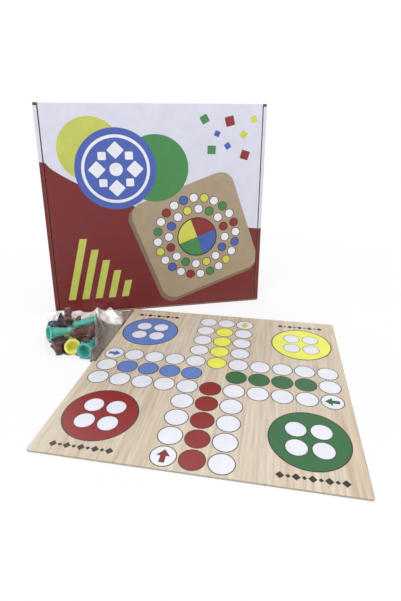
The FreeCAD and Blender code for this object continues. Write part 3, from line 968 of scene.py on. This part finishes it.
def bag_grid():
    """Grid of points over the bag: x, y, and shares across from the left and back from the front."""
    front_left, rear_left, front_right, rear_right = bag_corners()
    overlap = board_axes @ Vector((BAG_OVERLAP, 0, 0))
    columns = int((rear_right - rear_left).length / FILM_STEP)
    rows = int((rear_right - front_right).length / FILM_STEP)
    share, back = np.meshgrid(np.linspace(0, 1, columns + 1), np.linspace(0, 1, rows + 1))
    near = np.clip(1 - 2 * back, 0, 1) ** 2

    def spread(axis, tuck):
        left = front_left[axis] + (rear_left - front_left)[axis] * back + tuck * near
        right = (front_right + overlap)[axis] + (rear_right - front_right)[axis] * back
        return left + (right - left) * share

    return spread(0, BAG_TUCK), spread(1, 0), share, back


def covered_film(covered, edge):
    """How far each point of the film lies among low pawns, from 0 to 1; the lower film is painted dark
    there as shade.
    """
    open_floor = edge | ~grown(covered, COVER_STEPS)
    dark = ~grown(open_floor, COVER_STEPS + COVER_INSET) | ~grown(~covered, COVER_INSET)
    cover = dark.astype(float)
    for _ in range(COVER_INSET):
        cover = averaged(cover)
    return cover


def crumpled_floor(floor, ys, share, back):
    """Floor of the film with the rear weld standing up and the loose film in front of it creased."""
    shape = floor.shape
    wave = smooth_noise(shape, cells=12, seed=7)[-1]
    floor[-1] += REAR_STAND * (1 - share[-1]) * (1 + REAR_WAVE_SHARE * wave)
    loose = np.clip((ys - LOOSE_START) / LOOSE_RISE, 0, 1) * np.clip((1 - back) * LOOSE_EDGE, 0, 1)
    creases = (ridges(shape, cells=8, seed=3) * CRUMPLE_HEIGHT
               + ridges(shape, cells=17, seed=5) * FINE_HEIGHT)
    return floor + creases * loose * (floor < CRUMPLE_TOP)


def draped(floor, edge):
    """Film that hangs over the floor, held at its edge, with small wrinkles."""
    film = floor
    for _ in range(RELAX_STEPS):
        film = np.where(edge, floor, np.maximum(averaged(film), floor))
    wrinkle = (smooth_noise(floor.shape, cells=34, seed=11) * WRINKLE_FINE
               + smooth_noise(floor.shape, cells=13, seed=12) * WRINKLE_BROAD)
    return np.where(edge, floor, np.maximum(film + wrinkle, floor))


def make_bag():
    xs, ys, share, back = bag_grid()
    across_board = xs * math.cos(BOARD_TURN) + ys * math.sin(BOARD_TURN)
    over_board = across_board > -BOARD_SIDE / 2 - BOARD_EDGE_ROOM
    edge = np.zeros(xs.shape, bool)
    edge[0], edge[-1], edge[:, 0], edge[:, -1] = True, True, True, True
    floor, covered = drape_height(xs, ys, over_board)
    cover = covered_film(covered, edge)
    film = draped(crumpled_floor(floor, ys, share, back), edge)
    flat = np.where(over_board, BOARD_TOP + BASE_OVER_BOARD, BASE_LEVEL)
    make_sheet("bag_top_film", (xs, ys, film), cover, "bag_upper_film", film_material("clear_film"))
    make_sheet("bag_base_film", (xs, ys, flat), cover, "bag_lower_film", base_film_material("base_film"))


def make_sheet(name, grid, cover, stands_for, look):
    rows, width = cover.shape
    faces = [(r * width + c, r * width + c + 1, (r + 1) * width + c + 1, (r + 1) * width + c)
             for r in range(rows - 1) for c in range(width - 1)]
    data = bpy.data.meshes.new(name)
    data.from_pydata(list(zip(*(values.ravel() for values in grid))), [], faces)
    data.shade_smooth()
    data.materials.append(look)
    data.attributes.new("pile_cover", "FLOAT", "POINT").data.foreach_set("value", cover.ravel())
    piece = bpy.data.objects.new(name, data)
    scene.collection.objects.link(piece)
    skin = piece.modifiers.new("thickness", "SOLIDIFY")
    skin.thickness = FILM_SKIN
    skin.offset = 1
    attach(piece, "bag")
    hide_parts(stands_for)


make_bag()


# Stage, light and camera

FLOOR_HALF = 4.0
FLOOR_LEVEL = -0.02 * MM
WORLD_LIGHT, WORLD_SEEN = 0.45, 1.0

# Lamps: place, target and width in metres, and power in watts
LAMPS = (
    ("key", (-0.9, -1.0, 1.5), (-0.03, 0.05, 0.08), 1.2, 15),
    ("fill", (1.1, -0.9, 1.1), (0, 0.05, 0.08), 1.4, 8),
    ("top", (0.05, -0.15, 1.6), (0, 0, 0), 1.2, 4),
    ("back", (-0.2, 1.3, 1.4), (-0.1, 0.1, 0.05), 1.0, 9),
)

# Camera fitted to the board's and the carton's corners: focal length and middle row in pixels of
# the photo, angles in degrees
PHOTO_HEIGHT = 601
FOCAL_PIXELS, CENTRE_ROW = 428.96, 258.58
CAMERA_PLACE = Vector((-77.76, -322.65, 221.82)) * MM
CAMERA_YAW, CAMERA_PITCH, CAMERA_ROLL = 11.36, 18.673, -0.207
SENSOR_WIDTH = 36


def background_rays(tree):
    """1 for rays that show the background: straight, mirrored or through film."""
    rays = tree.nodes.new("ShaderNodeLightPath").outputs
    seen = math_node(tree, "MAXIMUM", rays["Is Camera Ray"], rays["Is Transmission Ray"])
    return math_node(tree, "MAXIMUM", seen, rays["Is Glossy Ray"])


def floor_material():
    """White paper that keeps the object's shadow and fades to plain white further out."""
    material, tree, shader = new_material("floor_white")
    paper = noise(tree, mapped(tree), scale=300, detail=3, roughness=0.6)
    colours = ramp(tree, paper, ((0.3, grey(0.86)), (0.7, grey(0.90))))
    tree.links.new(colours, shader.inputs["Base Color"])
    shader.inputs["Roughness"].default_value = 0.9
    shader.inputs["Specular IOR Level"].default_value = 0.1
    glow = node(tree, "ShaderNodeEmission", Strength=1.0)
    distance = node(tree, "ShaderNodeVectorMath", operation="LENGTH")
    tree.links.new(mapped(tree), distance.inputs[0])
    fade = ramp(tree, distance.outputs["Value"], ((0.25, grey(0.8)), (0.6, grey(1))))
    blend = tree.nodes.new("ShaderNodeMixShader")
    tree.links.new(math_node(tree, "MULTIPLY", background_rays(tree), fade), blend.inputs["Fac"])
    tree.links.new(shader.outputs["BSDF"], blend.inputs[1])
    tree.links.new(glow.outputs["Emission"], blend.inputs[2])
    tree.links.new(blend.outputs["Shader"], tree.nodes["Material Output"].inputs["Surface"])
    return material


def make_floor():
    data = bpy.data.meshes.new("floor")
    corners = ((-1, -1), (1, -1), (1, 1), (-1, 1))
    points = [(x * FLOOR_HALF, y * FLOOR_HALF, FLOOR_LEVEL) for x, y in corners]
    data.from_pydata(points, [], [(0, 1, 2, 3)])
    data.materials.append(floor_material())
    floor = bpy.data.objects.new("floor", data)
    scene.collection.objects.link(floor)


def make_world():
    """White surroundings that light the object less than they show."""
    world = bpy.data.worlds.new("studio")
    world.use_nodes = True
    scene.world = world
    tree = world.node_tree
    extra = math_node(tree, "MULTIPLY", background_rays(tree), WORLD_SEEN - WORLD_LIGHT)
    background = tree.nodes["Background"]
    background.inputs["Color"].default_value = grey(1)
    tree.links.new(math_node(tree, "ADD", extra, WORLD_LIGHT), background.inputs["Strength"])


def add_light(name, place, target, size, power):
    data = bpy.data.lights.new(name, "AREA")
    data.shape = "DISK"
    data.size = size
    data.energy = power
    lamp = bpy.data.objects.new(name, data)
    lamp.location = place
    lamp.rotation_euler = (Vector(target) - Vector(place)).to_track_quat("-Z", "Y").to_euler()
    scene.collection.objects.link(lamp)


def make_camera():
    yaw, pitch, roll = (math.radians(angle) for angle in (CAMERA_YAW, CAMERA_PITCH, CAMERA_ROLL))
    level = Vector((math.sin(yaw), math.cos(yaw), 0))
    forward = level * math.cos(pitch) + BELOW * math.sin(pitch)
    right = Vector((math.cos(yaw), -math.sin(yaw), 0))
    down = forward.cross(right)
    rolled_right = right * math.cos(roll) + down * math.sin(roll)
    rolled_up = -(down * math.cos(roll) - right * math.sin(roll))
    data = bpy.data.cameras.new("photo_camera")
    data.sensor_width = SENSOR_WIDTH
    data.lens = FOCAL_PIXELS * SENSOR_WIDTH / PHOTO_HEIGHT
    data.shift_y = -(PHOTO_HEIGHT / 2 - CENTRE_ROW) / PHOTO_HEIGHT
    data.clip_start = 10 * MM
    camera = bpy.data.objects.new("photo_camera", data)
    turn = Matrix((rolled_right, rolled_up, -forward)).transposed()
    camera.matrix_world = Matrix.Translation(CAMERA_PLACE) @ turn.to_4x4()
    scene.collection.objects.link(camera)
    scene.camera = camera


make_floor()
make_world()
for lamp in LAMPS:
    add_light(*lamp)
make_camera()
scene.view_settings.view_transform = "Standard"
